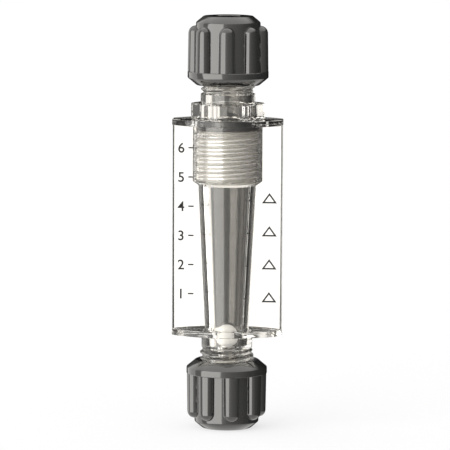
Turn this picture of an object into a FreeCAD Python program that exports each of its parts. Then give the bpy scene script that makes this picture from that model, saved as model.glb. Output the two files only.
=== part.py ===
import FreeCAD, Part
import math
import os

import Sketcher

# Flow indicator for 6.35 mm tube: a clear moulded body with a tapered bore and a white ball, a clear screwed
# fitting on top, and a hand-tightened tube nut on each end. Millimetres, +Z up, origin on the axis at the
# lower nut's end face. The front is the -Y side and the web between the flanges lies in the XZ plane.

SHEET = "dims"

DIMENSIONS = {
    # Hand nut, measured from its end face towards its open side.
    "nut_height": 18.75,
    "nut_end_diameter": 13.5,
    "nut_cone_height": 1.7,
    "nut_side_wall": 1.25,
    "nut_draft": 0.2,
    "nut_rim_reach": 2.05,
    "nut_rim_height": 1.75,
    "nut_mouth_bevel": 2.0,
    "nut_mouth_face": 0.25,
    "nut_mouth_lead": 0.8,
    "nut_wall": 2.6,
    "nut_hole_diameter": 6.9,
    "nut_pocket_depth": 4.3,
    "rib_count": 8,
    "rib_end_width": 4.2,
    "rib_width": 4.5,
    "rib_start": 2.65,
    "rib_sink": 0.05,
    "lower_nut_angle": 12.5,
    "upper_nut_angle": 1.75,
    # Threaded necks that the nuts screw onto, and the tube sockets in them.
    "neck_thread_diameter": 14.6,
    "neck_lead": 0.6,
    "lower_neck_length": 18.3,
    "lower_relief_diameter": 13.8,
    "lower_relief_length": 3.5,
    "upper_neck_length": 16.55,
    "upper_collar_diameter": 14.8,
    "upper_collar_length": 2.8,
    "socket_diameter": 6.6,
    "socket_length": 8.7,
    # Clear body: flanges, web, tapered tube and wide screwed socket.
    "flange_length": 30.0,
    "flange_thickness": 1.65,
    "lower_flange_depth": 14.8,
    "lower_flange_tip": 2.4,
    "upper_flange_depth": 18.8,
    "upper_flange_tip": 4.4,
    "web_thickness": 1.8,
    "tube_length": 39.55,
    "tube_bottom_diameter": 12.0,
    "tube_top_diameter": 15.9,
    "bore_bottom_diameter": 6.9,
    "bore_top_diameter": 10.4,
    "orifice_diameter": 3.4,
    "seat_drop": 1.05,
    "barrel_diameter": 19.0,
    "barrel_bevel": 1.1,
    "barrel_length": 15.3,
    "barrel_bore_diameter": 17.6,
    "barrel_floor_sink": 0.3,
    # Top fitting: plug with the wide thread, hexagonal head, seal ring under the head.
    "plug_thread_diameter": 16.9,
    "plug_lead": 0.8,
    "plug_end_gap": 0.5,
    "plug_bore_diameter": 10.4,
    "plug_roof": 1.2,
    "flow_bore_diameter": 4.0,
    "stop_rib_thickness": 1.0,
    "stop_rib_height": 1.6,
    "hex_across_corners": 20.0,
    "hex_height": 4.3,
    "hex_angle": 4.0,
    "groove_diameter": 13.6,
    "seal_ring_height": 2.75,
    "seal_ring_round": 0.5,
    # Ball.
    "ball_diameter": 6.0,
    # Grip ring, spacer and tube seal behind each nut.
    "packing_diameter": 10.0,
    "tube_seal_section": 1.84,
    "tube_seal_bore": 6.6,
    "gland_depth": 2.2,
    "spacer_bore": 6.8,
    "grip_ring_thickness": 0.4,
    "grip_ring_land": 0.8,
    "grip_ring_bore": 6.6,
    "grip_ring_rise": 0.8,
    "grip_slot_count": 10,
    "grip_slot_width": 0.5,
    # Gaps between pieces.
    "thread_gap": 0.2,
    "face_gap": 0.05,
    "packing_gap": 0.2,
    "gland_gap": 0.1,
    "ball_seat_gap": 0.2,
}

os.makedirs("parts", exist_ok=True)
doc = FreeCAD.newDocument("flow_indicator")
sheet = doc.addObject("Spreadsheet::Sheet", SHEET)
for row, (alias, number) in enumerate(DIMENSIONS.items(), start=1):
    sheet.set(f"A{row}", alias)
    sheet.set(f"B{row}", str(number))
    sheet.setAlias(f"B{row}", alias)
doc.recompute()


class Size:
    """A length worked out from the sheet: its value now, and the expression that keeps it bound."""

    def __init__(self, value, words):
        self.value = value
        self.words = words

    @staticmethod
    def of(other):
        """Wraps a plain number, and leaves a Size as it is."""
        return other if isinstance(other, Size) else Size(float(other), repr(float(other)))

    def joined(self, sign, other, value):
        return Size(value, f"({self.words} {sign} {Size.of(other).words})")

    def __add__(self, other):
        return self.joined("+", other, self.value + Size.of(other).value)

    def __sub__(self, other):
        return self.joined("-", other, self.value - Size.of(other).value)

    def __mul__(self, other):
        return self.joined("*", other, self.value * Size.of(other).value)

    def __truediv__(self, other):
        return self.joined("/", other, self.value / Size.of(other).value)

    def __neg__(self):
        return Size(-self.value, f"(0 - {self.words})")


def dim(alias):
    """A driving dimension of the sheet."""
    return Size(float(DIMENSIONS[alias]), f"{SHEET}.{alias}")


def half(alias):
    """Half of a driving dimension, such as a radius from a diameter."""
    return dim(alias) / 2


ZERO = Size.of(0)


# Heights along the axis, from the lower nut's end face up.
NECK_END = dim("nut_wall") + dim("nut_pocket_depth") + dim("packing_gap")
LOWER_FLANGE = NECK_END + dim("lower_neck_length")
TUBE_BOTTOM = LOWER_FLANGE + dim("flange_thickness")
TUBE_TOP = TUBE_BOTTOM + dim("tube_length")
BARREL_BOTTOM = TUBE_TOP + dim("barrel_bevel")
UPPER_FLANGE = BARREL_BOTTOM + dim("barrel_length")
BODY_TOP = UPPER_FLANGE + dim("flange_thickness")
BARREL_FLOOR = BARREL_BOTTOM - dim("barrel_floor_sink")
PLUG_BOTTOM = BARREL_FLOOR + dim("plug_end_gap")
HEX_BOTTOM = BODY_TOP + dim("face_gap")
HEX_TOP = HEX_BOTTOM + dim("hex_height")
UPPER_NECK_END = HEX_TOP + dim("upper_neck_length")
TOTAL_HEIGHT = UPPER_NECK_END + NECK_END

# The ball rests on a 45 degree seat at the foot of the tapered bore.
SEAT_TOP = LOWER_FLANGE - dim("seat_drop")
SEAT_APEX = SEAT_TOP - half("bore_bottom_diameter")
BALL_CENTRE = SEAT_APEX + (half("ball_diameter") + dim("ball_seat_gap")) * math.sqrt(2)

# Radii shared by pieces that fit each other.
NECK_RADIUS = half("neck_thread_diameter")
NUT_BORE_RADIUS = NECK_RADIUS + dim("thread_gap")
PACKING_RADIUS = half("packing_diameter")
POCKET_RADIUS = PACKING_RADIUS + dim("packing_gap")
TUBE_SEAL_RADIUS = half("tube_seal_bore") + dim("tube_seal_section")
GLAND_RADIUS = TUBE_SEAL_RADIUS + dim("gland_gap")


def origin_part(body, role):
    """The origin plane or axis of a body, found by its role."""
    return next(part for part in body.Origin.OriginFeatures if part.Role == role)


def new_body(label, z=ZERO, turn=ZERO, flipped=False):
    """An empty body in its place: lifted along Z, turned about Z, and upside down if flipped."""
    body = doc.addObject("PartDesign::Body", label)
    body.Label = label
    roll = FreeCAD.Rotation(FreeCAD.Vector(1, 0, 0), 180 if flipped else 0)
    spin = FreeCAD.Rotation(FreeCAD.Vector(0, 0, 1), turn.value)
    body.Placement = FreeCAD.Placement(FreeCAD.Vector(0, 0, z.value), spin * roll)
    body.setExpression("Placement.Base.z", z.words)
    return body


def hold(sketch, index, corner, axis, size):
    """Holds one coordinate of a sketch point at a size from the origin."""
    if abs(size.value) < 1e-9:
        sketch.addConstraint(Sketcher.Constraint("PointOnObject", index, corner, -2 if axis == "X" else -1))
        return
    kind = "Distance" + axis
    if size.value > 0:
        number = sketch.addConstraint(Sketcher.Constraint(kind, -1, 1, index, corner, size.value))
        sketch.setExpression(f"Constraints[{number}]", size.words)
    else:
        number = sketch.addConstraint(Sketcher.Constraint(kind, index, corner, -1, 1, -size.value))
        sketch.setExpression(f"Constraints[{number}]", (-size).words)


def outline(body, name, role, points, lift=ZERO):
    """A closed sketch through points (x, y), each a Size. A point (x, y, radius, side) starts an arc of that
    radius to the next point, bulging to the left of the way there if side is 1 and to the right if it is -1."""
    sketch = body.newObject("Sketcher::SketchObject", name)
    sketch.AttachmentSupport = (origin_part(body, role), "")
    sketch.MapMode = "FlatFace"
    sketch.AttachmentOffset = FreeCAD.Placement(FreeCAD.Vector(0, 0, lift.value), FreeCAD.Rotation())
    sketch.setExpression("AttachmentOffset.Base.z", lift.words)
    starts, ends = [], []
    for index, point in enumerate(points):
        after = points[(index + 1) % len(points)]
        start = FreeCAD.Vector(point[0].value, point[1].value, 0)
        end = FreeCAD.Vector(after[0].value, after[1].value, 0)
        if len(point) == 2:
            sketch.addGeometry(Part.LineSegment(start, end), False)
            starts.append(1)
            ends.append(2)
            continue
        radius, side = point[2].value, point[3]
        chord = end - start
        left = FreeCAD.Vector(-chord.y, chord.x, 0).normalize()
        reach = math.sqrt(max(radius ** 2 - (chord.Length / 2) ** 2, 0))
        crown = start + chord / 2 + left * side * (radius - reach)
        arc = Part.Arc(start, crown, end)
        sketch.addGeometry(arc, False)
        turns_left = side < 0
        starts.append(1 if turns_left else 2)
        ends.append(2 if turns_left else 1)
    count = len(points)
    for index in range(count):
        after = (index + 1) % count
        meet = Sketcher.Constraint("Coincident", index, ends[index], after, starts[after])
        sketch.addConstraint(meet)
    for index, point in enumerate(points):
        hold(sketch, index, starts[index], "X", point[0])
        hold(sketch, index, starts[index], "Y", point[1])
        if len(point) == 4:
            number = sketch.addConstraint(Sketcher.Constraint("Radius", index, point[2].value))
            sketch.setExpression(f"Constraints[{number}]", point[2].words)
    return sketch


def turned(body, name, points, kind="PartDesign::Revolution", forward=ZERO):
    """Turns an outline of (radius, height) points about the axis, or about a line in front of it, as a solid
    or as a groove."""
    sketch = outline(body, name + "_outline", "XZ_Plane", points, forward)
    feature = body.newObject(kind, name)
    feature.Profile = sketch
    feature.ReferenceAxis = (sketch, ["V_Axis"])
    feature.Angle = 360
    return feature


def padded(body, name, role, points, length, lift=ZERO, midplane=False):
    """Pads an outline by a length, from a plane lifted along its normal, or evenly to both sides of it."""
    feature = body.newObject("PartDesign::Pad", name)
    feature.Profile = outline(body, name + "_outline", role, points, lift)
    feature.Midplane = midplane
    feature.Length = length.value
    feature.setExpression("Length", length.words)
    return feature


def pocketed(body, name, role, points, length, lift=ZERO, outwards=False, midplane=False):
    """Cuts an outline by a length, inwards from its plane, outwards along its normal, or to both sides."""
    feature = body.newObject("PartDesign::Pocket", name)
    feature.Profile = outline(body, name + "_outline", role, points, lift)
    feature.Reversed = outwards
    feature.Midplane = midplane
    feature.Length = length.value
    feature.setExpression("Length", length.words)
    return feature


def repeated(body, name, feature, count_alias):
    """Repeats a feature evenly about the axis."""
    pattern = body.newObject("PartDesign::PolarPattern", name)
    pattern.Originals = [feature]
    pattern.Axis = (origin_part(body, "Z_Axis"), [""])
    pattern.Angle = 360
    pattern.Occurrences = int(DIMENSIONS[count_alias])
    pattern.setExpression("Occurrences", f"{SHEET}.{count_alias}")
    body.Tip = pattern
    return pattern


def rectangle(x_low, x_high, y_low, y_high):
    return [(x_low, y_low), (x_high, y_low), (x_high, y_high), (x_low, y_high)]


def hand_nut(label, z, turn, flipped):
    """Hand-tightened tube nut: coned end, round body with half-round ribs that start in a dome, rim, bevelled
    mouth and a stepped bore."""
    nut = new_body(label, z, turn, flipped)
    rim_top = dim("nut_height") - dim("nut_mouth_bevel")
    rim_ledge = rim_top - dim("nut_rim_height")
    end_radius = NUT_BORE_RADIUS + dim("nut_side_wall")
    ledge_radius = end_radius + dim("nut_draft")
    rim_radius = ledge_radius + dim("nut_rim_reach")
    mouth_lead = dim("nut_mouth_lead")
    turned(nut, label + "_turning", [
        (ZERO, ZERO),
        (half("nut_end_diameter"), ZERO),
        (end_radius, dim("nut_cone_height")),
        (ledge_radius, rim_ledge),
        (rim_radius, rim_ledge),
        (rim_radius, rim_top),
        (NUT_BORE_RADIUS + mouth_lead + dim("nut_mouth_face"), dim("nut_height")),
        (ZERO, dim("nut_height")),
    ])
    dome = half("rib_end_width")
    rib = turned(nut, label + "_rib", [
        (ZERO, dim("rib_start"), dome, -1),
        (dome, dim("rib_start") + dome),
        (half("rib_width"), rim_ledge),
        (ZERO, rim_ledge),
    ], forward=end_radius - dim("rib_sink"))
    repeated(nut, label + "_ribs", rib, "rib_count")
    bore_floor = dim("nut_wall") + dim("nut_pocket_depth")
    hole = half("nut_hole_diameter")
    turned(nut, label + "_bore", [
        (ZERO, ZERO),
        (hole, ZERO),
        (hole, dim("nut_wall")),
        (POCKET_RADIUS, dim("nut_wall")),
        (POCKET_RADIUS, bore_floor),
        (NUT_BORE_RADIUS, bore_floor),
        (NUT_BORE_RADIUS, dim("nut_height") - mouth_lead),
        (NUT_BORE_RADIUS + mouth_lead, dim("nut_height")),
        (ZERO, dim("nut_height")),
    ], kind="PartDesign::Groove")
    return nut


def lens(depth_alias, tip_alias):
    """A flange's plan: two shallow arcs that meet blunt tips on the left and right."""
    reach = half("flange_length")
    tip = half(tip_alias)
    crown = half(depth_alias) - tip
    radius = (reach * reach + crown * crown) / (crown * 2)
    return [
        (reach, -tip),
        (reach, tip, radius, -1),
        (-reach, tip),
        (-reach, -tip, radius, -1),
    ]


def clear_body():
    """One clear moulding: threaded neck, flanges, web, tapered tube and wide socket, bored from both ends."""
    body = new_body("body")
    relief_bottom = LOWER_FLANGE - dim("lower_relief_length")
    relief = half("lower_relief_diameter")
    lead = dim("neck_lead")
    barrel = half("barrel_diameter")
    turned(body, "body_turning", [
        (ZERO, NECK_END),
        (NECK_RADIUS - lead, NECK_END),
        (NECK_RADIUS, NECK_END + lead),
        (NECK_RADIUS, relief_bottom),
        (relief, relief_bottom),
        (relief, LOWER_FLANGE),
        (half("tube_bottom_diameter"), LOWER_FLANGE),
        (half("tube_bottom_diameter"), TUBE_BOTTOM),
        (half("tube_top_diameter"), TUBE_TOP),
        (barrel, BARREL_BOTTOM),
        (barrel, BODY_TOP),
        (ZERO, BODY_TOP),
    ])
    thickness = dim("flange_thickness")
    padded(body, "lower_flange", "XY_Plane", lens("lower_flange_depth", "lower_flange_tip"), thickness,
           lift=LOWER_FLANGE)
    padded(body, "upper_flange", "XY_Plane", lens("upper_flange_depth", "upper_flange_tip"), thickness,
           lift=UPPER_FLANGE)
    reach = half("flange_length")
    web = rectangle(-reach, reach, TUBE_BOTTOM, UPPER_FLANGE)
    padded(body, "web", "XZ_Plane", web, dim("web_thickness"), midplane=True)
    orifice = half("orifice_diameter")
    socket = half("socket_diameter")
    socket_bottom = NECK_END + dim("gland_depth")
    socket_top = socket_bottom + dim("socket_length")
    turned(body, "body_bore", [
        (ZERO, NECK_END),
        (GLAND_RADIUS, NECK_END),
        (GLAND_RADIUS, socket_bottom),
        (socket, socket_bottom),
        (socket, socket_top),
        (orifice, socket_top),
        (orifice, SEAT_APEX + orifice),
        (half("bore_bottom_diameter"), SEAT_TOP),
        (half("bore_top_diameter"), BARREL_FLOOR),
        (half("barrel_bore_diameter"), BARREL_FLOOR),
        (half("barrel_bore_diameter"), BODY_TOP),
        (ZERO, BODY_TOP),
    ], kind="PartDesign::Groove")
    return body


def top_fitting():
    """Clear fitting: cored plug with the wide thread, seal groove, hexagonal head, neck, and a rib across
    the foot that stops the ball."""
    fitting = new_body("top_fitting", turn=dim("hex_angle"))
    plug = half("plug_thread_diameter")
    plug_lead = dim("plug_lead")
    lead = dim("neck_lead")
    groove = half("groove_diameter")
    groove_bottom = HEX_BOTTOM - dim("seal_ring_height") - dim("packing_gap") * 2
    collar = half("upper_collar_diameter")
    collar_top = HEX_TOP + dim("upper_collar_length")
    turned(fitting, "fitting_turning", [
        (ZERO, PLUG_BOTTOM),
        (plug - plug_lead, PLUG_BOTTOM),
        (plug, PLUG_BOTTOM + plug_lead),
        (plug, groove_bottom),
        (groove, groove_bottom),
        (groove, HEX_TOP),
        (collar, HEX_TOP),
        (collar, collar_top),
        (NECK_RADIUS, collar_top),
        (NECK_RADIUS, UPPER_NECK_END - lead),
        (NECK_RADIUS - lead, UPPER_NECK_END),
        (ZERO, UPPER_NECK_END),
    ])
    corner = half("hex_across_corners")
    flat = corner * (math.sqrt(3) / 2)
    padded(fitting, "hex_head", "XY_Plane", [
        (corner, ZERO),
        (corner / 2, flat),
        (-corner / 2, flat),
        (-corner, ZERO),
        (-corner / 2, -flat),
        (corner / 2, -flat),
    ], dim("hex_height"), lift=HEX_BOTTOM)
    cored = half("plug_bore_diameter")
    flow = half("flow_bore_diameter")
    roof = HEX_BOTTOM - dim("plug_roof")
    socket = half("socket_diameter")
    socket_top = UPPER_NECK_END - dim("gland_depth")
    socket_bottom = socket_top - dim("socket_length")
    turned(fitting, "fitting_bore", [
        (ZERO, PLUG_BOTTOM),
        (cored, PLUG_BOTTOM),
        (cored, roof - (cored - flow)),
        (flow, roof),
        (flow, socket_bottom),
        (socket, socket_bottom),
        (socket, socket_top),
        (GLAND_RADIUS, socket_top),
        (GLAND_RADIUS, UPPER_NECK_END),
        (ZERO, UPPER_NECK_END),
    ], kind="PartDesign::Groove")
    reach = cored + dim("stop_rib_thickness") / 2
    side = half("stop_rib_thickness")
    padded(fitting, "stop_rib", "XY_Plane", rectangle(-reach, reach, -side, side), dim("stop_rib_height"),
           lift=PLUG_BOTTOM)
    return fitting


def seal_ring():
    """Rubber ring of near square section under the hexagonal head, closing the mouth of the socket."""
    ring = new_body("seal_ring")
    inner = half("groove_diameter") + dim("gland_gap")
    outer = half("barrel_bore_diameter") - dim("gland_gap")
    top = HEX_BOTTOM - dim("packing_gap")
    bottom = top - dim("seal_ring_height")
    edge = dim("seal_ring_round")
    turned(ring, "seal_ring_turning", [
        (inner + edge, bottom),
        (outer - edge, bottom, edge, -1),
        (outer, bottom + edge),
        (outer, top - edge, edge, -1),
        (outer - edge, top),
        (inner + edge, top, edge, -1),
        (inner, top - edge),
        (inner, bottom + edge, edge, -1),
    ])
    return ring


def grip_ring(label, z, flipped):
    """Thin sprung washer with a flat land and teeth that lean in towards the tube."""
    ring = new_body(label, z, flipped=flipped)
    foot = dim("nut_wall") + dim("face_gap")
    land = PACKING_RADIUS - dim("grip_ring_land")
    tip = half("grip_ring_bore")
    thickness = dim("grip_ring_thickness")
    rise = dim("grip_ring_rise")
    turned(ring, label + "_turning", [
        (PACKING_RADIUS, foot),
        (PACKING_RADIUS, foot + thickness),
        (land, foot + thickness),
        (tip, foot + thickness + rise),
        (tip, foot + rise),
        (land, foot),
    ])
    side = half("grip_slot_width")
    height = thickness + rise + 1
    slot = pocketed(ring, label + "_slot", "XY_Plane", rectangle(-side, side, -land, -tip + 1), height,
                    lift=foot - 0.5, outwards=True)
    repeated(ring, label + "_slots", slot, "grip_slot_count")
    return ring


def spacer(label, z, flipped):
    """Plastic washer between the grip ring and the seal, coned where the teeth lean into it."""
    washer = new_body(label, z, flipped=flipped)
    foot = dim("nut_wall") + dim("face_gap") * 2 + dim("grip_ring_thickness")
    land = PACKING_RADIUS - dim("grip_ring_land") + dim("gland_gap")
    bore = half("spacer_bore")
    turned(washer, label + "_turning", [
        (PACKING_RADIUS, foot),
        (PACKING_RADIUS, NECK_END - dim("gland_gap")),
        (bore, NECK_END - dim("gland_gap")),
        (bore, foot + dim("grip_ring_rise")),
        (land, foot),
    ])
    return washer


def ring_primitive(label, centre_z):
    """Round rubber ring in the mouth of a neck."""
    ring = doc.addObject("Part::Torus", label)
    ring.Label = label
    tube = half("tube_seal_section")
    ring.setExpression("Radius1", (half("tube_seal_bore") + tube).words)
    ring.setExpression("Radius2", tube.words)
    ring.setExpression("Placement.Base.z", centre_z.words)
    return ring


def white_ball():
    """White ball that the flow lifts up the tapered bore."""
    ball = doc.addObject("Part::Sphere", "ball")
    ball.Label = "ball"
    ball.setExpression("Radius", half("ball_diameter").words)
    ball.setExpression("Placement.Base.z", BALL_CENTRE.words)
    return ball


# The tube seal lies in its gland, halfway between the spacer and the gland's floor.
seal_height = NECK_END + (dim("gland_depth") - dim("gland_gap")) / 2

pieces = [
    clear_body(),
    top_fitting(),
    seal_ring(),
    white_ball(),
    hand_nut("lower_nut", ZERO, dim("lower_nut_angle"), False),
    grip_ring("lower_grip_ring", ZERO, False),
    spacer("lower_spacer", ZERO, False),
    ring_primitive("lower_tube_seal", seal_height),
    hand_nut("upper_nut", TOTAL_HEIGHT, dim("upper_nut_angle"), True),
    grip_ring("upper_grip_ring", TOTAL_HEIGHT, True),
    spacer("upper_spacer", TOTAL_HEIGHT, True),
    ring_primitive("upper_tube_seal", TOTAL_HEIGHT - seal_height),
]

doc.recompute()

faults = [item.Name for item in doc.Objects if "Invalid" in item.State or "Error" in item.State]
if faults:
    raise RuntimeError("these did not build: " + ", ".join(faults))
for piece in pieces:
    if piece.Shape.isNull() or not piece.Shape.isValid() or len(piece.Shape.Solids) != 1:
        raise RuntimeError("not one sound solid: " + piece.Label)

for piece in pieces:
    piece.Shape.exportStep(f"parts/{piece.Label}.step")
    box = piece.Shape.BoundBox
    print(f"{piece.Label:18} {piece.Shape.Volume:9.2f} mm3  z {box.ZMin:7.2f} to {box.ZMax:7.2f}"
          f"  x {box.XMin:7.2f} to {box.XMax:7.2f}")
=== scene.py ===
import math

import bmesh
import bpy
import numpy as np
from mathutils import Matrix, Vector


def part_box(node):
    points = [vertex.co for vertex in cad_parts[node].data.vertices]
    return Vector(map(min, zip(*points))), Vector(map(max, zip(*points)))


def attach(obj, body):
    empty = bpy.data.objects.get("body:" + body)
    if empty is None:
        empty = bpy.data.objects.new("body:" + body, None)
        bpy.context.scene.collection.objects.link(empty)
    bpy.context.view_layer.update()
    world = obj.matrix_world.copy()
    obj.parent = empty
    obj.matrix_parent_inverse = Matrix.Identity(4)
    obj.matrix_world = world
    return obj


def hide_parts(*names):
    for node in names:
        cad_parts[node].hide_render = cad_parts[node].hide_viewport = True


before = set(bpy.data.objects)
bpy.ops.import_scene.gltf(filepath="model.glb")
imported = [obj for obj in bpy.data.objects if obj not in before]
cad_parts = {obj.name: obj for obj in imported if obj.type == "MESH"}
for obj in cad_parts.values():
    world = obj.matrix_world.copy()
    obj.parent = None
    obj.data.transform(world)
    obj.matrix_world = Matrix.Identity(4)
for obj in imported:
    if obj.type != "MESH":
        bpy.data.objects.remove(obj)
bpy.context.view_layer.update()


# Studio: the photograph's camera, one large soft light on the left, a dim room, and a white floor.
# The clear plastic shows the bright side and the dim room in its walls, as the photograph does.
MM = 0.001                               # sizes are in millimetres, and the scene is in metres
CAMERA_DISTANCE = 1.09
CAMERA_AZIMUTH = math.radians(4.0)       # towards +X from the front
CAMERA_ELEVATION = math.radians(6.5)
CAMERA_ROLL = math.radians(0.27)
CAMERA_AIM = (-0.65 * MM, 55.6 * MM)     # sideways and up from the axis at the floor
CAMERA_NEAR = 0.01
CAMERA_LENS = 320.0                      # millimetres
CAMERA_SENSOR = 36.0

# Radiance by azimuth, in degrees to the camera's left. The far side of the room lies at both ends. The dip
# near 90 is a gap in the light, so that the clear walls can be seen from the side too.
ROOM = [(-180, 0.01), (-150, 0.02), (-114, 0.08), (-95, 0.12), (-80, 0.2), (-66, 0.24), (-40, 0.4),
        (-20, 0.48), (0, 0.64), (12, 0.88), (16.5, 1.0), (18.5, 3.2), (76, 3.2), (80, 0.55), (100, 0.55),
        (103, 1.3), (114, 1.1), (146, 1.0), (152, 0.1), (180, 0.01)]
ROOM_COLOUR = (1.0, 0.985, 0.95, 1)
CEILING_RADIANCE = 1.3
FLOOR_RADIANCE = 0.9
CURVE_TOP = 4.0                          # radiance at the top of the curve node
# Where the walls, the ceiling and the floor's light fade in or out, as the sine of the height.
WALL_FADE_BELOW, WALL_FADE_ABOVE = (-0.55, -0.4), (0.75, 0.5)
CEILING_FADE, FLOOR_FADE = (0.5, 0.8), (-0.4, -0.6)
CARD_HALF_ANGLE = 3.0                    # degrees of white card seen straight through the web
WEB_GAIN = 1.22                          # makes up for what the web's two faces reflect
WEB_DEPTH = 3.5                          # ray depth that two faces give, and no more
WHITE = (1, 1, 1, 1)

FLOOR_RADIUS, FLOOR_POINTS = 4.0, 96
FLOOR_COLOUR = (0.3, 0.3046, 0.3158, 1)  # answers the warm room, so that the floor stays neutral
FLOOR_GLOW = 0.68                        # brings the floor up to white for the camera alone


def place_camera():
    """Camera on a sphere round the aim point, turned by its roll about the line of sight."""
    side = Vector((math.cos(CAMERA_AZIMUTH), math.sin(CAMERA_AZIMUTH), 0))
    level = Vector((math.sin(CAMERA_AZIMUTH), -math.cos(CAMERA_AZIMUTH), 0))
    back = level * math.cos(CAMERA_ELEVATION) + Vector((0, 0, math.sin(CAMERA_ELEVATION)))
    up = back.cross(side)
    right = side * math.cos(CAMERA_ROLL) + up * math.sin(CAMERA_ROLL)
    top = up * math.cos(CAMERA_ROLL) - side * math.sin(CAMERA_ROLL)
    aim = side * CAMERA_AIM[0] + Vector((0, 0, CAMERA_AIM[1]))
    lens = bpy.data.cameras.new("camera")
    lens.lens = CAMERA_LENS
    lens.sensor_width = CAMERA_SENSOR
    lens.clip_start = CAMERA_NEAR
    camera = bpy.data.objects.new("camera", lens)
    camera.matrix_world = Matrix.Translation(aim + back * CAMERA_DISTANCE) @ Matrix(
        (right, top, back)).transposed().to_4x4()
    bpy.context.scene.collection.objects.link(camera)
    bpy.context.scene.camera = camera


class Nodes:
    """Adds and joins shader nodes of one tree."""

    def __init__(self, tree):
        self.tree = tree
        tree.nodes.clear()

    def add(self, kind, **settings):
        node = self.tree.nodes.new(kind)
        for name, value in settings.items():
            setattr(node, name, value)
        return node

    def join(self, source, target):
        self.tree.links.new(source, target)

    def math(self, operation, first, second=0.0, third=0.0):
        """One Math node. Each input is a socket or a number."""
        node = self.add("ShaderNodeMath", operation=operation)
        for socket, value in zip(node.inputs, (first, second, third)):
            if isinstance(value, (int, float)):
                socket.default_value = value
            else:
                self.join(value, socket)
        return node.outputs[0]

    def ramp(self, value, low, high, to_low=0.0, to_high=1.0):
        """Smooth step of a value from one number to another."""
        node = self.add("ShaderNodeMapRange", interpolation_type="SMOOTHSTEP")
        self.join(value, node.inputs["Value"])
        for name, number in zip(("From Min", "From Max", "To Min", "To Max"), (low, high, to_low, to_high)):
            node.inputs[name].default_value = number
        return node.outputs["Result"]

    def blend(self, factor, low, high):
        """Colour between two colours, by a factor from 0 to 1."""
        node = self.add("ShaderNodeMix", data_type="RGBA")
        colour_inputs = [socket for socket in node.inputs if socket.type == "RGBA"]
        self.join(factor, node.inputs[0])
        for socket, colour in zip(colour_inputs, (low, high)):
            socket.default_value = colour
        return next(socket for socket in node.outputs if socket.type == "RGBA")

    def noise(self, place, scale, detail=2.0):
        """Value of a noise texture at a place."""
        node = self.add("ShaderNodeTexNoise")
        node.inputs["Scale"].default_value = scale
        node.inputs["Detail"].default_value = detail
        self.join(place, node.inputs["Vector"])
        return node.outputs["Fac"]

    def bump(self, height, strength, distance):
        """Normal of a surface that a texture raises by up to a distance in metres."""
        node = self.add("ShaderNodeBump")
        node.inputs["Strength"].default_value = strength
        node.inputs["Distance"].default_value = distance
        self.join(height, node.inputs["Height"])
        return node.outputs["Normal"]


def light_room():
    """World: white where the camera looks past the object or straight through its flat web. Elsewhere the
    light follows the azimuth: a broad soft box on the left that fades towards the back, and a dim room on the
    right."""
    world = bpy.data.worlds.new("studio")
    bpy.context.scene.world = world
    world.use_nodes = True
    n = Nodes(world.node_tree)
    direction = n.add("ShaderNodeTexCoord").outputs["Generated"]
    axes = n.add("ShaderNodeSeparateXYZ")
    n.join(direction, axes.inputs[0])
    x, y, z = axes.outputs
    sine, cosine = math.sin(CAMERA_AZIMUTH), math.cos(CAMERA_AZIMUTH)
    front = n.math("ADD", n.math("MULTIPLY", x, sine), n.math("MULTIPLY", y, -cosine))
    left = n.math("ADD", n.math("MULTIPLY", x, -cosine), n.math("MULTIPLY", y, -sine))
    turn = n.math("DEGREES", n.math("ARCTAN2", left, front))
    ring = n.add("ShaderNodeFloatCurve")
    n.join(n.math("MULTIPLY_ADD", turn, 1 / 360, 0.5), ring.inputs["Value"])
    curve = ring.mapping.curves[0]
    for degrees, radiance in ROOM[1:-1]:
        curve.points.new(degrees / 360 + 0.5, radiance / CURVE_TOP)
    for point, (degrees, radiance) in zip(curve.points, ROOM):
        point.location = (degrees / 360 + 0.5, radiance / CURVE_TOP)
        point.handle_type = "VECTOR"
    ring.mapping.update()
    height = n.math("MULTIPLY", n.ramp(z, *WALL_FADE_BELOW), n.ramp(z, *WALL_FADE_ABOVE))
    walls = n.math("MULTIPLY", n.math("MULTIPLY", ring.outputs[0], CURVE_TOP), height)
    top = n.ramp(z, *CEILING_FADE, 0.0, CEILING_RADIANCE)
    low = n.ramp(z, *FLOOR_FADE, 0.0, FLOOR_RADIANCE)
    room = n.math("ADD", walls, n.math("ADD", top, low))
    level = n.math("MULTIPLY", front, -math.cos(CAMERA_ELEVATION))
    ahead = n.math("ADD", level, n.math("MULTIPLY", z, -math.sin(CAMERA_ELEVATION)))
    rays = n.add("ShaderNodeLightPath").outputs
    card = n.math("GREATER_THAN", ahead, math.cos(math.radians(CARD_HALF_ANGLE)))
    thin = n.math("MULTIPLY", n.math("MULTIPLY", rays["Is Transmission Ray"], card),
                  n.math("LESS_THAN", rays["Ray Depth"], WEB_DEPTH))
    white = n.math("ADD", rays["Is Camera Ray"], n.math("MULTIPLY", thin, WEB_GAIN))
    seen = n.math("MAXIMUM", rays["Is Camera Ray"], thin)
    strength = n.math("ADD", n.math("MULTIPLY", room, n.math("SUBTRACT", 1.0, seen)), white)
    shade = n.add("ShaderNodeBackground")
    n.join(n.blend(seen, ROOM_COLOUR, WHITE), shade.inputs["Color"])
    n.join(strength, shade.inputs["Strength"])
    n.join(shade.outputs[0], n.add("ShaderNodeOutputWorld").inputs["Surface"])


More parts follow.
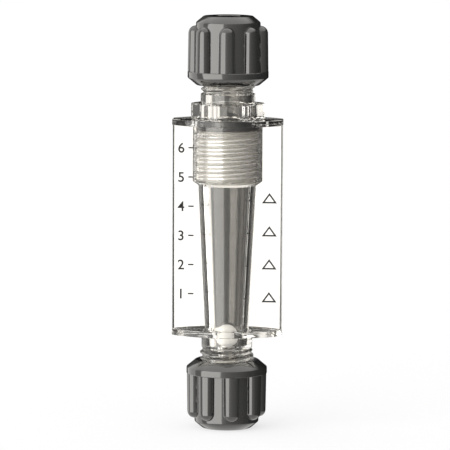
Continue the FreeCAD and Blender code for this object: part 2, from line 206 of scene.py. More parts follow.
def lay_floor():
    """Round pale floor under the lower nut: white to the camera, a shade darker in the object's shadow."""
    angle = np.linspace(0, 2 * math.pi, FLOOR_POINTS, endpoint=False)
    points = FLOOR_RADIUS * np.column_stack([np.cos(angle), np.sin(angle), 0 * angle])
    mesh = bpy.data.meshes.new("floor")
    mesh.from_pydata(points.tolist(), [], [list(range(len(points)))])
    floor = bpy.data.objects.new("floor", mesh)
    bpy.context.scene.collection.objects.link(floor)
    floor.visible_glossy = False
    floor.visible_transmission = False
    material = bpy.data.materials.new("pale_floor")
    material.use_nodes = True
    n = Nodes(material.node_tree)
    glow = n.add("ShaderNodeEmission")
    to_camera = n.add("ShaderNodeLightPath").outputs["Is Camera Ray"]
    n.join(n.math("MULTIPLY", to_camera, FLOOR_GLOW), glow.inputs["Strength"])
    matte = n.add("ShaderNodeBsdfDiffuse")
    matte.inputs["Color"].default_value = FLOOR_COLOUR
    both = n.add("ShaderNodeAddShader")
    n.join(glow.outputs[0], both.inputs[0])
    n.join(matte.outputs[0], both.inputs[1])
    n.join(both.outputs[0], n.add("ShaderNodeOutputMaterial").inputs["Surface"])
    mesh.materials.append(material)


place_camera()
light_room()
lay_floor()
bpy.context.scene.view_settings.view_transform = "Standard"
bpy.context.scene.cycles.max_bounces = 32
bpy.context.scene.cycles.transmission_bounces = 32
bpy.context.scene.cycles.glossy_bounces = 12


# Clear body: one polycarbonate moulding, polished, with the threaded neck, the lens-shaped flanges, the flat
# web, the tapered tube and the wide socket. One outline in plan is carried up the outside and back down the
# bore.
QUARTER_TIP, QUARTER_FACE, QUARTER_ARC = 6, 10, 34      # points per quarter: blunt tip, web face, tube
SQUEEZE = math.radians(7.0)                             # holds the tip and face points of a round section

NECK_END, BODY_TOP = 7.1, 84.65
NECK_CREST, NECK_ROOT, NECK_PITCH, NECK_BEVEL = 7.3, 6.65, 1.8, 0.6
RELIEF_RADIUS, RELIEF_BOTTOM, RELIEF_SLOPE, RELIEF_INSET = 6.9, 21.9, 0.3, 0.6
RELIEF_FILLET, FILLET_MIDDLE = 0.35, (0.1, 0.14)        # out from the relief, and down from the flange
FLANGE_REACH, FLANGE_THICKNESS, FLANGE_BEVEL = 15.0, 1.65, 0.12
LOWER_FLANGE, LOWER_DEPTH, LOWER_TIP = 25.4, 7.4, 1.2
UPPER_FLANGE, UPPER_DEPTH, UPPER_TIP = 83.0, 9.4, 2.2
WEB_REACH, WEB_SIDE, WEB_ROUND = 14.95, 0.9, 0.24
TUBE_BOTTOM, TUBE_TOP = LOWER_FLANGE + FLANGE_THICKNESS, 66.6
TUBE_BOTTOM_RADIUS, TUBE_TOP_RADIUS = 6.0, 7.95
BARREL_BOTTOM, BARREL_RADIUS, BARREL_EDGE, BARREL_FLOOR = 67.7, 9.5, 0.3, 67.4
SOCKET_ROOT, SOCKET_CREST, SOCKET_PITCH, SOCKET_THREAD_TOP = 8.8, 8.0, 2.3, 81.3
SOCKET_RUNOUT_TOP, SOCKET_RUNOUT_FLOOR = 0.1, 0.4
BORE_TOP, BORE_BOTTOM, SEAT_FLOOR, ORIFICE = 5.2, 3.45, 22.72, 1.7
TUBE_SOCKET, TUBE_STOP, GLAND, GLAND_FLOOR = 3.3, 20.4, 5.24, 9.3
TUBE_ROWS, BARREL_ROWS, BORE_ROWS = 24, 8, 24
THREAD_STEEPNESS = 1.8
CREASE = math.radians(38)                               # a sharper edge than this isn't smoothed over
POLE_WELD = 1e-7                                        # metres within which a pole's points are made one
CLEAR_COLOUR = (0.985, 0.968, 0.935, 1)
EDGE_SHADE_COLOUR = (0.72, 0.71, 0.69, 1)                     # painted shade: grey for the upper flange's edge, outside the barrel, where the clear plastic looks dark
SHADED_EDGE_ZONE, SHADED_EDGE_START = (UPPER_FLANGE - 0.05, BODY_TOP + 0.02), BARREL_RADIUS + 0.1
CLEAR_IOR = 1.58
GLOSS_SCALE, GLOSS_NOISE, GLOSS_ROUGHNESS = 140.0, (0.3, 0.8), (0.004, 0.03)
FLOW_SCALE, FLOW_STRENGTH, FLOW_HEIGHT = 90.0, 0.02, 0.0002     # faint waves that the mould's filling leaves
SOCKET_FROST, SOCKET_HAZE = 0.03, 0.0                   # on the thread: added roughness, share not clear
THREAD_ZONE = (6.6, 9.0)                                # radii between which the wide thread lies
THREAD_FADE_BELOW = (BARREL_FLOOR - 0.2, BARREL_FLOOR + 0.2)
THREAD_FADE_ABOVE = (SOCKET_THREAD_TOP + 0.3, SOCKET_THREAD_TOP)


def spread(start, stop, count):
    """Evenly spaced numbers from start up to, but without, stop."""
    return np.linspace(start, stop, count, endpoint=False)


def ring_plan(radius):
    """Circle, with the points of the tip and the web face held in a small angle at each side."""
    squeezed = spread(0, SQUEEZE, QUARTER_TIP + QUARTER_FACE)
    angle = np.concatenate([squeezed, spread(SQUEEZE, math.pi / 2, QUARTER_ARC)])
    turn = np.concatenate([angle, math.pi - np.append(angle, math.pi / 2)[:0:-1]])
    turn = np.concatenate([turn, turn + math.pi])
    return np.stack([radius * np.cos(turn), radius * np.sin(turn)], axis=1)


def whole_plan(x, y, crown):
    """Four quarters of an outline: a quarter from +X towards +Y, then its mirror images. crown is its point
    on Y."""
    xs = np.concatenate([x, -np.append(x, 0.0)[:0:-1]])
    ys = np.concatenate([y, np.append(y, crown)[:0:-1]])
    return np.stack([np.concatenate([xs, -xs]), np.concatenate([ys, -ys])], axis=1)


def web_plan(radius):
    """Circle with a flat web through it: up the web's end, round its edge, in along its face, and round the
    tube."""
    joint = math.asin(WEB_SIDE / radius)
    angle = spread(joint, math.pi / 2, QUARTER_ARC)
    edge = spread(0, math.pi / 2, QUARTER_TIP - 1)
    x = np.concatenate([[WEB_REACH], WEB_REACH - WEB_ROUND * (1 - np.cos(edge)),
                        spread(WEB_REACH - WEB_ROUND, radius * math.cos(joint), QUARTER_FACE),
                        radius * np.cos(angle)])
    y = np.concatenate([[0.0], WEB_SIDE - WEB_ROUND * (1 - np.sin(edge)), np.full(QUARTER_FACE, WEB_SIDE),
                        radius * np.sin(angle)])
    return whole_plan(x, y, radius)


def lens_plan(depth, tip, inset=0.0):
    """Flange outline: blunt tips at both sides joined by shallow arcs through the crowns."""
    crown = depth - tip
    arc_radius = (FLANGE_REACH ** 2 + crown ** 2) / (2 * crown)
    x = FLANGE_REACH * np.cos(spread(0, math.pi / 2, QUARTER_FACE + QUARTER_ARC))
    y = np.sqrt(arc_radius ** 2 - x ** 2) - (arc_radius - depth)
    x = np.concatenate([np.full(QUARTER_TIP, FLANGE_REACH), x])
    y = np.concatenate([spread(0, tip, QUARTER_TIP), y])
    return whole_plan(x * (1 - inset / FLANGE_REACH), y * (1 - inset / depth), depth - inset)


def thread_wave(turns):
    """Height of a rounded thread, 1 on the crest and 0 in the root: the cosine of the turn, steepened by
    tanh."""
    return 0.5 + 0.5 * np.tanh(THREAD_STEEPNESS * np.cos(2 * math.pi * turns)) / math.tanh(THREAD_STEEPNESS)


def threaded_rows(plan, bottom, top, root, crest, pitch, phase=0.0, rows_per_pitch=16):
    """Rows of a right-hand thread between two heights. The radius goes from root to crest with the thread
    wave of height / pitch - angle / full turn + phase, and fades to the root over half a pitch at the
    ends."""
    rows = max(int(abs(top - bottom) / pitch * rows_per_pitch), 4)
    z = np.linspace(bottom, top, rows)[:, None]
    angle = np.arctan2(plan[:, 1], plan[:, 0])[None, :]
    low, high = min(bottom, top), max(bottom, top)
    fade = np.clip(np.minimum(z - low, high - z) / (pitch / 2), 0, 1)
    radius = root + (crest - root) * fade * thread_wave(z / pitch - angle / (2 * math.pi) + phase)
    return np.stack([radius * np.cos(angle), radius * np.sin(angle), z + 0 * angle], axis=2)


def level_row(plan, z):
    """One row of a grid: an outline in plan at one height."""
    return np.column_stack([plan, np.full(len(plan), z)])[None]


def cone_rows(make_plan, bottom, top, low_radius, high_radius, rows):
    """Rows whose radius changes evenly with height, ends included."""
    steps = np.linspace(0, 1, rows)
    return np.concatenate([level_row(make_plan(low_radius + (high_radius - low_radius) * s),
                                     bottom + (top - bottom) * s) for s in steps])


def grid_piece(name, points, closed_rows=True):
    """Joins rows of points, in millimetres, into one closed skin. Columns close round the axis. Rows close
    into a loop that runs up the outside and down the bore, or else the first and last rows are poles."""
    rows, columns = points.shape[:2]
    index = np.arange(rows * columns).reshape(rows, columns)
    below = index if closed_rows else index[:-1]
    above = np.roll(index, -1, axis=0) if closed_rows else index[1:]
    quads = np.stack([below, np.roll(below, -1, axis=1), np.roll(above, -1, axis=1), above], axis=2)
    quads = quads.reshape(-1, 4)
    flat = points.reshape(-1, 3) * MM
    a, b, c, d = (flat[quads[:, k]] for k in range(4))
    volume = np.sum(np.einsum("ij,ij->i", a, np.cross(b, c)) + np.einsum("ij,ij->i", a, np.cross(c, d)))
    if volume < 0:
        quads = quads[:, ::-1]
    mesh = bpy.data.meshes.new(name)
    mesh.from_pydata(flat.tolist(), [], quads.tolist())
    if not closed_rows:
        shape = bmesh.new()
        shape.from_mesh(mesh)
        bmesh.ops.remove_doubles(shape, verts=shape.verts, dist=POLE_WELD)
        shape.to_mesh(mesh)
        shape.free()
    mesh.validate()
    mesh.polygons.foreach_set("use_smooth", np.ones(len(mesh.polygons), dtype=bool))
    mesh.set_sharp_from_angle(angle=CREASE)
    piece = bpy.data.objects.new(name, mesh)
    bpy.context.scene.collection.objects.link(piece)
    return piece


def clear_plastic(name, thread_frost, thread_haze):
    """Polished polycarbonate: clear, with a faint uneven gloss and the slight flow waves of the moulding. The
    wide thread's flanks are frosted and milky by radius and height, and painted shade greys the upper
    flange's edge."""
    material = bpy.data.materials.new(name)
    material.use_nodes = True
    n = Nodes(material.node_tree)
    place = n.add("ShaderNodeTexCoord").outputs["Object"]
    shade = n.add("ShaderNodeBsdfPrincipled")
    shade.inputs["IOR"].default_value = CLEAR_IOR
    axes = n.add("ShaderNodeSeparateXYZ")
    n.join(place, axes.inputs[0])
    x, y, z = axes.outputs
    radius = n.math("SQRT", n.math("ADD", n.math("MULTIPLY", x, x), n.math("MULTIPLY", y, y)))
    # Painted shade: the upper flange's edge outside the barrel is tinted grey so that it looks darker.
    flange = n.math("MULTIPLY", n.math("GREATER_THAN", z, SHADED_EDGE_ZONE[0] * MM),
                    n.math("LESS_THAN", z, SHADED_EDGE_ZONE[1] * MM))
    edge = n.math("MULTIPLY", flange, n.math("GREATER_THAN", radius, SHADED_EDGE_START * MM))
    n.join(n.blend(edge, CLEAR_COLOUR, EDGE_SHADE_COLOUR), shade.inputs["Base Color"])
    level = n.math("MULTIPLY", n.ramp(z, *(height * MM for height in THREAD_FADE_BELOW)),
                   n.ramp(z, *(height * MM for height in THREAD_FADE_ABOVE)))
    wall = n.math("MULTIPLY", n.math("GREATER_THAN", radius, THREAD_ZONE[0] * MM),
                  n.math("LESS_THAN", radius, THREAD_ZONE[1] * MM))
    thread = n.math("MULTIPLY", level, wall)
    n.join(n.math("MULTIPLY_ADD", thread, -thread_haze, 1.0), shade.inputs["Transmission Weight"])
    gloss = n.ramp(n.noise(place, GLOSS_SCALE), *GLOSS_NOISE, *GLOSS_ROUGHNESS)
    n.join(n.math("MULTIPLY_ADD", thread, thread_frost, gloss), shade.inputs["Roughness"])
    n.join(n.bump(n.noise(place, FLOW_SCALE), FLOW_STRENGTH, FLOW_HEIGHT), shade.inputs["Normal"])
    n.join(shade.outputs[0], n.add("ShaderNodeOutputMaterial").inputs["Surface"])
    return material


def body_rows():
    """All rows of the moulding, up the outside from the neck's end and down the bore."""
    lower, lower_eased = (lens_plan(LOWER_DEPTH, LOWER_TIP, inset) for inset in (0.0, FLANGE_BEVEL))
    upper, upper_eased = (lens_plan(UPPER_DEPTH, UPPER_TIP, inset) for inset in (0.0, FLANGE_BEVEL))
    rows = [
        level_row(ring_plan(NECK_ROOT), NECK_END),
        threaded_rows(ring_plan(1), NECK_END + NECK_BEVEL, RELIEF_BOTTOM, NECK_ROOT, NECK_CREST, NECK_PITCH),
        level_row(ring_plan(RELIEF_RADIUS), RELIEF_BOTTOM + RELIEF_SLOPE),
        level_row(ring_plan(RELIEF_RADIUS), LOWER_FLANGE - RELIEF_FILLET),
        level_row(ring_plan(RELIEF_RADIUS + FILLET_MIDDLE[0]), LOWER_FLANGE - FILLET_MIDDLE[1]),
        level_row(lens_plan(LOWER_DEPTH, LOWER_TIP, RELIEF_INSET), LOWER_FLANGE),
        level_row(lower_eased, LOWER_FLANGE),
        level_row(lower, LOWER_FLANGE + FLANGE_BEVEL),
        level_row(lower, TUBE_BOTTOM - FLANGE_BEVEL),
        level_row(lower_eased, TUBE_BOTTOM),
        cone_rows(web_plan, TUBE_BOTTOM, TUBE_TOP, TUBE_BOTTOM_RADIUS, TUBE_TOP_RADIUS, TUBE_ROWS),
        level_row(web_plan(BARREL_RADIUS), BARREL_BOTTOM),
        cone_rows(web_plan, BARREL_BOTTOM + BARREL_EDGE, UPPER_FLANGE, BARREL_RADIUS, BARREL_RADIUS,
                  BARREL_ROWS),
        level_row(upper_eased, UPPER_FLANGE),
        level_row(upper, UPPER_FLANGE + FLANGE_BEVEL),
        level_row(upper, BODY_TOP - FLANGE_BEVEL),
        level_row(upper_eased, BODY_TOP),
        level_row(ring_plan(SOCKET_ROOT), BODY_TOP),
        level_row(ring_plan(SOCKET_ROOT), SOCKET_THREAD_TOP + SOCKET_RUNOUT_TOP),
        threaded_rows(ring_plan(1), SOCKET_THREAD_TOP, BARREL_FLOOR + SOCKET_RUNOUT_FLOOR, SOCKET_ROOT,
                      SOCKET_CREST, SOCKET_PITCH, phase=0.5),
        level_row(ring_plan(SOCKET_ROOT), BARREL_FLOOR),
        cone_rows(ring_plan, BARREL_FLOOR, SEAT_FLOOR, BORE_TOP, BORE_BOTTOM, BORE_ROWS),
        level_row(ring_plan(ORIFICE), SEAT_FLOOR),
        level_row(ring_plan(ORIFICE), TUBE_STOP),
        level_row(ring_plan(TUBE_SOCKET), TUBE_STOP),
        level_row(ring_plan(TUBE_SOCKET), GLAND_FLOOR),
        level_row(ring_plan(GLAND), GLAND_FLOOR),
        level_row(ring_plan(GLAND), NECK_END),
    ]
    return np.concatenate(rows)


clear_body = grid_piece("clear_body", body_rows())
clear_body.data.materials.append(clear_plastic("clear_plastic", SOCKET_FROST, SOCKET_HAZE))
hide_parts("body")
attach(clear_body, "tube")


# Top fitting: clear moulding screwed into the socket, with a cored plug, a wide thread, a seal groove, a
# hexagonal head and the upper neck. A straight rib across its foot stops the ball.
FITTING_COLUMNS = 192
FITTING_TURN = math.radians(6.4)
PLUG_BOTTOM, PLUG_CREST, PLUG_ROOT, PLUG_BORE = 67.9, 8.45, 7.9, 5.2
GROOVE_RADIUS, GROOVE_BOTTOM = 6.8, 81.55
PLUG_BEVEL, PLUG_TAPER, GROOVE_SLOPE = 0.3, 0.4, 0.2
HEX_BOTTOM, HEX_TOP, HEX_CORNER, HEX_FLAT, HEX_BEVEL = 84.7, 89.0, 10.0, 9.11, 0.25
COLLAR_RADIUS, COLLAR_TOP, COLLAR_BEVEL = 7.4, 91.8, 0.3
UPPER_NECK_END = 105.55
FLOW_BORE, PLUG_ROOF, UPPER_STOP = 2.0, 93.2, 94.65
STOP_SIDE, STOP_TOP, STOP_SINK, STOP_LIFT = 0.5, 69.5, 0.6, 0.002
PLUG_FROST, PLUG_HAZE = 0.6, 0.5                        # the plug's thread looks milky in the photograph


def circle(radius, count=FITTING_COLUMNS, turn=FITTING_TURN):
    """Circle of evenly spaced points."""
    angle = turn + spread(0, 2 * math.pi, count)
    return radius * np.column_stack([np.cos(angle), np.sin(angle)])


def hexagon(inset=0.0, count=FITTING_COLUMNS, turn=FITTING_TURN):
    """Hexagon in polar form: its flat's distance over the cosine of the angle from the flat's middle, and no
    more than the corner radius, which rounds the corners."""
    angle = spread(0, 2 * math.pi, count)
    off_middle = np.mod(angle, math.pi / 3) - math.pi / 6
    radius = np.minimum(HEX_FLAT / np.cos(off_middle), HEX_CORNER) - inset
    return np.column_stack([radius * np.cos(angle + turn), radius * np.sin(angle + turn)])


def fitting_rows():
    """All rows of the fitting, up the outside from the plug's foot and down the bore."""
    socket_top = UPPER_NECK_END - (GLAND_FLOOR - NECK_END)
    rows = [
        level_row(circle(PLUG_ROOT - PLUG_BEVEL), PLUG_BOTTOM),
        threaded_rows(circle(1), PLUG_BOTTOM + PLUG_BEVEL, GROOVE_BOTTOM, PLUG_ROOT, PLUG_CREST,
                      SOCKET_PITCH),
        level_row(circle(GROOVE_RADIUS), GROOVE_BOTTOM + GROOVE_SLOPE),
        level_row(circle(GROOVE_RADIUS), HEX_BOTTOM),
        level_row(hexagon(HEX_BEVEL), HEX_BOTTOM),
        level_row(hexagon(), HEX_BOTTOM + HEX_BEVEL),
        level_row(hexagon(), HEX_TOP - HEX_BEVEL),
        level_row(hexagon(HEX_BEVEL), HEX_TOP),
        level_row(circle(COLLAR_RADIUS), HEX_TOP),
        level_row(circle(COLLAR_RADIUS), COLLAR_TOP - COLLAR_BEVEL),
        threaded_rows(circle(1), COLLAR_TOP, UPPER_NECK_END - NECK_BEVEL, NECK_ROOT, NECK_CREST, NECK_PITCH),
        level_row(circle(NECK_ROOT), UPPER_NECK_END),
        level_row(circle(GLAND), UPPER_NECK_END),
        level_row(circle(GLAND), socket_top),
        level_row(circle(TUBE_SOCKET), socket_top),
        level_row(circle(TUBE_SOCKET), UPPER_STOP),
        level_row(circle(FLOW_BORE), UPPER_STOP),
        level_row(circle(FLOW_BORE), PLUG_ROOF),
        level_row(circle(PLUG_BORE - PLUG_TAPER), PLUG_ROOF),
        level_row(circle(PLUG_BORE), PLUG_BOTTOM),
    ]
    return np.concatenate(rows)


def stop_rib():
    """Straight bar across the plug's bore, its ends sunk into the wall."""
    reach = PLUG_BORE + STOP_SINK
    turn = Matrix.Rotation(FITTING_TURN, 4, "Z")
    corners = [turn @ Vector((x, y, z)) * MM for x in (-reach, reach) for y in (-STOP_SIDE, STOP_SIDE)
               for z in (PLUG_BOTTOM + STOP_LIFT, STOP_TOP)]
    faces = [(0, 1, 3, 2), (4, 6, 7, 5), (0, 4, 5, 1), (2, 3, 7, 6), (0, 2, 6, 4), (1, 5, 7, 3)]
    mesh = bpy.data.meshes.new("stop_rib")
    mesh.from_pydata(corners, [], faces)
    bar = bpy.data.objects.new("stop_rib", mesh)
    bpy.context.scene.collection.objects.link(bar)
    return bar


def merge(piece, other):
    """Unites two solids into the first one and removes the second."""
    union = piece.modifiers.new("union", "BOOLEAN")
    union.operation = "UNION"
    union.solver = "EXACT"
    union.object = other
    depsgraph = bpy.context.evaluated_depsgraph_get()
    mesh = bpy.data.meshes.new_from_object(piece.evaluated_get(depsgraph))
    piece.modifiers.clear()
    piece.data = mesh
    bpy.data.objects.remove(other)


clear_fitting = grid_piece("clear_fitting", fitting_rows())
merge(clear_fitting, stop_rib())
clear_fitting.data.materials.clear()
clear_fitting.data.materials.append(clear_plastic("clear_fitting_plastic", PLUG_FROST, PLUG_HAZE))
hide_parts("top_fitting")
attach(clear_fitting, "fitting")


# Ball: solid white plastic, ground round and slightly satin. It rests on the edge of the orifice in the
# bore's floor and rises with the flow.
BALL_RADIUS = 3.0
BALL_COLOUR = (0.93, 0.925, 0.905)
BALL_PAINTED_GLOW = 0.3                                         # painted light: a glow standing in for the light that the clear walls keep from it
BALL_HEIGHT = (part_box("ball")[0][2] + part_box("ball")[1][2]) / 2 / MM
COAT_ROUGHNESS, GRAIN_STRENGTH = 0.04, 0.3
PATCH_SCALE, PATCH_DETAIL, PATCH_NOISE, PATCH_SHADE = 260.0, 4.0, (0.3, 0.7), 0.9


def sphere_rows(radius, height, rings=48, columns=96):
    """Sphere by latitude and longitude: rings of radius times cosine at height plus radius times sine."""
    latitude = np.linspace(-math.pi / 2, math.pi / 2, rings)
    rows = [level_row(circle(radius * math.cos(a), columns, 0.0), height + radius * math.sin(a))
            for a in latitude]
    return np.concatenate(rows)


def plastic(name, colour, roughness, rough_change, bump_scale, bump_height, coat=0.0):
    """Moulded plastic: one colour, gloss that varies a little over the surface, and a fine skin texture.
    bump_height is in metres."""
    material = bpy.data.materials.new(name)
    material.use_nodes = True
    n = Nodes(material.node_tree)
    place = n.add("ShaderNodeTexCoord").outputs["Object"]
    shade = n.add("ShaderNodeBsdfPrincipled")
    shade.inputs["Coat Weight"].default_value = coat
    shade.inputs["Coat Roughness"].default_value = COAT_ROUGHNESS
    patches = n.noise(place, PATCH_SCALE, PATCH_DETAIL)
    n.join(n.ramp(patches, *PATCH_NOISE, roughness, roughness + rough_change), shade.inputs["Roughness"])
    tint = n.add("ShaderNodeValToRGB")
    tint.color_ramp.elements[0].color = (*[c * PATCH_SHADE for c in colour], 1)
    tint.color_ramp.elements[1].color = (*colour, 1)
    n.join(patches, tint.inputs[0])
    n.join(tint.outputs[0], shade.inputs["Base Color"])
    n.join(n.bump(n.noise(place, bump_scale), GRAIN_STRENGTH, bump_height), shade.inputs["Normal"])
    n.join(shade.outputs[0], n.add("ShaderNodeOutputMaterial").inputs["Surface"])
    return material


white_ball = grid_piece("white_ball", sphere_rows(BALL_RADIUS, BALL_HEIGHT), closed_rows=False)
ball_plastic = plastic("ball_plastic", BALL_COLOUR, roughness=0.3, rough_change=0.1, bump_scale=2500.0,
                       bump_height=5e-6)
ball_skin = ball_plastic.node_tree.nodes["Principled BSDF"]
# Painted light: the ball glows faintly in its own colour, in place of light that the clear walls keep from
# it.
ball_skin.inputs["Emission Color"].default_value = (*BALL_COLOUR, 1)
ball_skin.inputs["Emission Strength"].default_value = BALL_PAINTED_GLOW
white_ball.data.materials.append(ball_plastic)
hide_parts("ball")
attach(white_ball, "ball")


# Seal ring: black rubber of near square section with rounded edges. It sits in the groove under the
# fitting's head, inside the socket's mouth, and closes the gap between the two.
SEAL_INNER, SEAL_OUTER, SEAL_BOTTOM, SEAL_TOP, SEAL_ROUND = 6.9, 8.7, 81.75, 84.5, 0.5
RUBBER_COLOUR = (0.03, 0.03, 0.032)


def rounded_ring_rows(inner, outer, bottom, top, rounding, columns=160, steps=7):
    """Ring whose section is a rectangle with quarter-circle corners, as a closed loop of circles."""
    rows = []
    corners = [(outer, bottom, -90), (outer, top, 0), (inner, top, 90), (inner, bottom, 180)]
    for x, z, start in corners:
        centre_x = x - rounding if x == outer else x + rounding
        centre_z = z + rounding if z == bottom else z - rounding
        for angle in np.radians(np.linspace(start, start + 90, steps)):
            radius = centre_x + rounding * math.cos(angle)
            rows.append(level_row(circle(radius, columns, 0.0), centre_z + rounding * math.sin(angle)))
    return np.concatenate(rows)


rubber = plastic("seal_rubber", RUBBER_COLOUR, roughness=0.35, rough_change=0.15, bump_scale=3000.0,
                 bump_height=8e-6)
seal = grid_piece("seal_ring_shown",
                  rounded_ring_rows(SEAL_INNER, SEAL_OUTER, SEAL_BOTTOM, SEAL_TOP, SEAL_ROUND))
seal.data.materials.append(rubber)
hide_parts("seal_ring")
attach(seal, "ring")


# Hand nuts: black glossy plastic, moulded, with a coned end, a round body, eight raised ribs that start in a
# dome, and a rim with a bevelled mouth. Both nuts are the same part, the upper one turned over.
NUT_HEIGHT, NUT_END_RADIUS, NUT_CONE_HEIGHT = 18.75, 6.75, 1.7
NUT_SIDE, NUT_SIDE_LEDGE, NUT_LEDGE, NUT_RIM, NUT_RIM_TOP = 8.75, 8.95, 15.0, 11.0, 16.75
NUT_MOUTH = 8.55
NUT_BORE, NUT_BORE_FLOOR, NUT_POCKET, NUT_WALL, NUT_HOLE = 7.5, 6.9, 5.2, 2.6, 3.45
RIBS, RIB_START, RIB_END_SIDE, RIB_SIDE_WIDE, RIB_REACH = 8, 2.65, 2.1, 2.25, 2.0
RIB_CREST_RADIUS = 3.2                                  # rounding of the crest, seen from the end
RIB_SHOULDER = 1.0                                      # width over which a flank rounds into the crest
DOME_POINTS, SIDE_POINTS = 34, 26
FLANK_BEFORE, FLANK_AFTER = 3.6, 1.2                    # degrees round a rib's edge where the columns crowd
CREST_COLUMNS, FLANK_COLUMNS, VALLEY_COLUMNS = 10, 18, 6
NUT_HOLE_BEVEL, NUT_LEAD_IN, NUT_TOLERANCE = 0.2, 0.8, 0.01
NUT_COLOUR, NUT_IOR = (0.026, 0.026, 0.026), 1.6


def nut_profile():
    """Outline of the round nut as (radius, height) points, densest along the dome of the ribs. The small
    numbers, of 0.2 and less, ease its edges."""
    dome = np.linspace(RIB_START - 0.05, RIB_START + RIB_END_SIDE, DOME_POINTS)
    sides = np.concatenate([dome, np.linspace(dome[-1], NUT_LEDGE - 0.02, SIDE_POINTS)[1:]])
    draft = (NUT_SIDE_LEDGE - NUT_SIDE) / (NUT_LEDGE - NUT_CONE_HEIGHT)
    body = [(NUT_SIDE + (z - NUT_CONE_HEIGHT) * draft, z) for z in sides]
    return [
        (NUT_HOLE + NUT_HOLE_BEVEL, 0.0), (NUT_END_RADIUS - 0.15, 0.0), (NUT_END_RADIUS + 0.1, 0.12),
        (NUT_SIDE - 0.14, NUT_CONE_HEIGHT - 0.12), (NUT_SIDE, NUT_CONE_HEIGHT + 0.16), *body,
        (NUT_RIM - 0.12, NUT_LEDGE), (NUT_RIM, NUT_LEDGE + 0.12), (NUT_RIM, NUT_RIM_TOP - 0.15),
        (NUT_RIM - 0.1, NUT_RIM_TOP + 0.05),
        (NUT_MOUTH + 0.1, NUT_HEIGHT - 0.08), (NUT_MOUTH - 0.08, NUT_HEIGHT),
        (NUT_BORE + NUT_LEAD_IN, NUT_HEIGHT), (NUT_BORE, NUT_HEIGHT - NUT_LEAD_IN),
        (NUT_BORE, NUT_BORE_FLOOR), (NUT_POCKET, NUT_BORE_FLOOR),
        (NUT_POCKET, NUT_WALL), (NUT_HOLE, NUT_WALL), (NUT_HOLE, NUT_HOLE_BEVEL),
    ]


def rib_columns():
    """Angles round the nut, counted from a rib's middle and closest together at the ribs' flanks."""
    flank = np.degrees(math.asin(RIB_END_SIDE / NUT_SIDE))
    before, after = flank - FLANK_BEFORE, flank + FLANK_AFTER
    half = np.concatenate([spread(0, before, CREST_COLUMNS), spread(before, after, FLANK_COLUMNS),
                           np.linspace(after, 180 / RIBS, VALLEY_COLUMNS)])
    whole = np.concatenate([half, (360 / RIBS - half[::-1])[1:-1]])
    return np.radians((whole[None, :] + 360 / RIBS * np.arange(RIBS)[:, None]).ravel())


def nut_rows(end, way, turn):
    """The nut's skin. The radius is the profile's, raised on each rib to a crest arc of its own radius. The
    raised part is the arc's height times a quarter circle of the distance in from the rib's flank, so a flank
    stands steep and rounds into the crest. In the dome the rib's width and reach shrink with the root of
    1 - t * t, where t goes from 0 to 1 down to its start. end and way place the nut's heights along the
    axis."""
    profile = np.array(nut_profile())
    angle = rib_columns()[None, :]
    radius = profile[:, :1] + 0 * angle
    z = profile[:, 1:] + 0 * angle
    off = np.mod(angle + math.pi / RIBS, 2 * math.pi / RIBS) - math.pi / RIBS
    dome_top = RIB_START + RIB_END_SIDE
    dome = np.sqrt(np.clip(1 - np.clip((dome_top - z) / RIB_END_SIDE, 0, 1) ** 2, 0, 1))
    along = np.clip((z - dome_top) / (NUT_LEDGE - dome_top), 0, 1)
    side = (RIB_END_SIDE + (RIB_SIDE_WIDE - RIB_END_SIDE) * along) * dome
    centre = radius + RIB_REACH * dome - RIB_CREST_RADIUS
    beyond = np.sqrt(np.clip(RIB_CREST_RADIUS ** 2 - (centre * np.sin(off)) ** 2, 0, None))
    crest = centre * np.cos(off) + beyond
    inside = np.clip((side - radius * np.abs(np.sin(off))) / RIB_SHOULDER, 0, 1)
    rise = np.sqrt(1 - (1 - inside) ** 2)
    ribbed = (z > RIB_START) & (z < NUT_LEDGE - NUT_TOLERANCE) & (radius > NUT_SIDE - NUT_TOLERANCE)
    radius = np.where(ribbed, radius + np.maximum(crest - radius, 0) * rise, radius)
    at = angle + turn
    return np.stack([radius * np.cos(at), radius * np.sin(at), end + way * z], axis=2)


nut_plastic = plastic("nut_plastic", NUT_COLOUR, roughness=0.08, rough_change=0.05, bump_scale=1800.0,
                      bump_height=4e-6, coat=1.0)
nut_skin = nut_plastic.node_tree.nodes["Principled BSDF"]
nut_skin.inputs["IOR"].default_value = NUT_IOR
nut_skin.inputs["Coat IOR"].default_value = NUT_IOR
OBJECT_TOP = 112.65
NUTS = {                                                # end face, way along the axis, degrees from the front
    "lower_nut": (0.0, 1, 12.5),
    "upper_nut": (OBJECT_TOP, -1, 1.75),
}
for node, (end, way, degrees) in NUTS.items():
    nut = grid_piece("ribbed_" + node, nut_rows(end, way, math.radians(degrees) - math.pi / 2))
    nut.data.materials.append(nut_plastic)
    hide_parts(node)
    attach(nut, node)


# Packing inside each nut: sprung steel grip ring, white spacer and black tube seal. Their forms are the
# frame's own, and only the finish is given here.
STEEL_COLOUR, SPACER_COLOUR = (0.6, 0.6, 0.62), (0.8, 0.8, 0.76)

steel = plastic("grip_steel", STEEL_COLOUR, roughness=0.25, rough_change=0.1, bump_scale=900.0,
                bump_height=3e-6)
steel.node_tree.nodes["Principled BSDF"].inputs["Metallic"].default_value = 1.0
white = plastic("spacer_plastic", SPACER_COLOUR, roughness=0.45, rough_change=0.1, bump_scale=2000.0,
                bump_height=4e-6)
finishes = {"grip_ring": steel, "spacer": white, "tube_seal": rubber}
for end in ("lower", "upper"):
    for piece, finish in finishes.items():
        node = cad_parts[f"{end}_{piece}"]
        node.data.materials.clear()
        node.data.materials.append(finish)


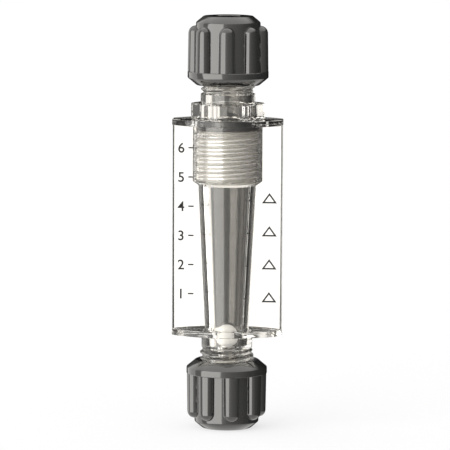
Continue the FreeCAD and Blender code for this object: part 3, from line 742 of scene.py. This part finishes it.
# Print on the web's front, a thin coat of black ink: four outlined flow arrows on the right, and a plain
# scale of numbers with bars on the left.
PRINT_LIFT, PRINT_SINK = 0.015, 0.005
ARROW_X, ARROW_WIDTH, ARROW_HEIGHT, ARROW_STROKE = 11.5, 4.15, 2.85, 0.42
ARROW_BASES = [34.6 + 9.05 * k for k in range(4)]
DIGIT_X, DIGIT_SIZE, DIGIT_BASES = -12.6, 3.8, [35.4 + 8.0 * k for k in range(6)]
DIGIT_SWELL, DIGIT_MIDDLE = 0.05, 0.35                   # added to each side of a stroke; share of the size
TICK_X, TICK_LENGTH, TICK_STROKE = -9.9, 1.5, 0.38
LETTER_WELD = 1e-5                                       # millimetres
INK_COLOUR = (0.012, 0.012, 0.013)


def arrow_outline(base):
    """Triangle pointing up, as a frame: outer corners, and inner corners moved in by the stroke's width."""
    half = ARROW_WIDTH / 2
    slant = math.hypot(half, ARROW_HEIGHT)
    outer = np.array([(-half, 0), (half, 0), (0, ARROW_HEIGHT)])
    side = ARROW_STROKE * (slant + half) / ARROW_HEIGHT
    peak = ARROW_STROKE * slant / half
    inner = np.array([(-half + side, ARROW_STROKE), (half - side, ARROW_STROKE), (0, ARROW_HEIGHT - peak)])
    return outer + (ARROW_X, base), inner + (ARROW_X, base)


def inlay(loops):
    """Points and faces of thin closed inlays on the web's front between pairs of loops, outer and inner."""
    back, skin = -WEB_SIDE + PRINT_SINK, -WEB_SIDE - PRINT_LIFT
    points, faces = [], []
    for outer, inner in loops:
        count = len(outer)
        index = (len(points) + np.arange(4 * count)).reshape(4, count).tolist()
        outer_skin, inner_skin, outer_back, inner_back = index
        for depth in (skin, back):
            for loop in (outer, inner):
                points += [(x, depth, z) for x, z in loop]
        for k in range(count):
            after = (k + 1) % count
            faces += [(outer_skin[k], outer_skin[after], inner_skin[after], inner_skin[k]),
                      (outer_back[after], outer_back[k], inner_back[k], inner_back[after]),
                      (outer_skin[after], outer_skin[k], outer_back[k], outer_back[after]),
                      (inner_skin[k], inner_skin[after], inner_back[after], inner_back[k])]
    return points, faces


def tick(height):
    """Short level bar beside a number."""
    low, high = height - TICK_STROKE / 2, height + TICK_STROKE / 2
    left, right = TICK_X - TICK_LENGTH / 2, TICK_X + TICK_LENGTH / 2
    return [(x, y, z) for y in (-WEB_SIDE - PRINT_LIFT, -WEB_SIDE + PRINT_SINK)
            for x, z in ((left, low), (right, low), (right, high), (left, high))]


def print_piece(name, points, faces, material):
    """A piece of print that rides with the body."""
    mesh = bpy.data.meshes.new(name)
    mesh.from_pydata((np.array(points) * MM).tolist(), [], faces)
    mesh.materials.append(material)
    piece = bpy.data.objects.new(name, mesh)
    bpy.context.scene.collection.objects.link(piece)
    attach(piece, "tube")


ink = plastic("print_ink", INK_COLOUR, roughness=0.45, rough_change=0.15, bump_scale=4000.0,
              bump_height=2e-6)
print_piece("flow_arrows", *inlay([arrow_outline(base) for base in ARROW_BASES]), ink)

BAR_FACES = [(0, 1, 2, 3), (7, 6, 5, 4), (0, 4, 5, 1), (1, 5, 6, 2), (2, 6, 7, 3), (3, 7, 4, 0)]
tick_points, tick_faces = [], []
for base in DIGIT_BASES:
    tick_faces += [tuple(len(tick_points) + k for k in face) for face in BAR_FACES]
    tick_points += tick(base + DIGIT_SIZE * DIGIT_MIDDLE)
print_piece("scale_ticks", tick_points, tick_faces, ink)

for number, base in enumerate(DIGIT_BASES, start=1):
    letters = bpy.data.curves.new(f"number_{number}", "FONT")
    letters.body = str(number)
    letters.size = DIGIT_SIZE
    letters.align_x = "CENTER"
    letters.offset = DIGIT_SWELL
    letters.extrude = (PRINT_LIFT + PRINT_SINK) / 2
    holder = bpy.data.objects.new("number_source", letters)
    bpy.context.scene.collection.objects.link(holder)
    flat = holder.to_mesh()
    shape = bmesh.new()
    shape.from_mesh(flat)
    bmesh.ops.remove_doubles(shape, verts=shape.verts, dist=LETTER_WELD)
    bmesh.ops.recalc_face_normals(shape, faces=shape.faces)
    depth = -WEB_SIDE - PRINT_LIFT + letters.extrude
    points = [(v.co.x + DIGIT_X, depth - v.co.z, v.co.y + base) for v in shape.verts]
    shape.verts.index_update()
    faces = [tuple(v.index for v in face.verts) for face in shape.faces]
    shape.free()
    bpy.data.objects.remove(holder)
    print_piece(f"number_{number}", points, faces, ink)
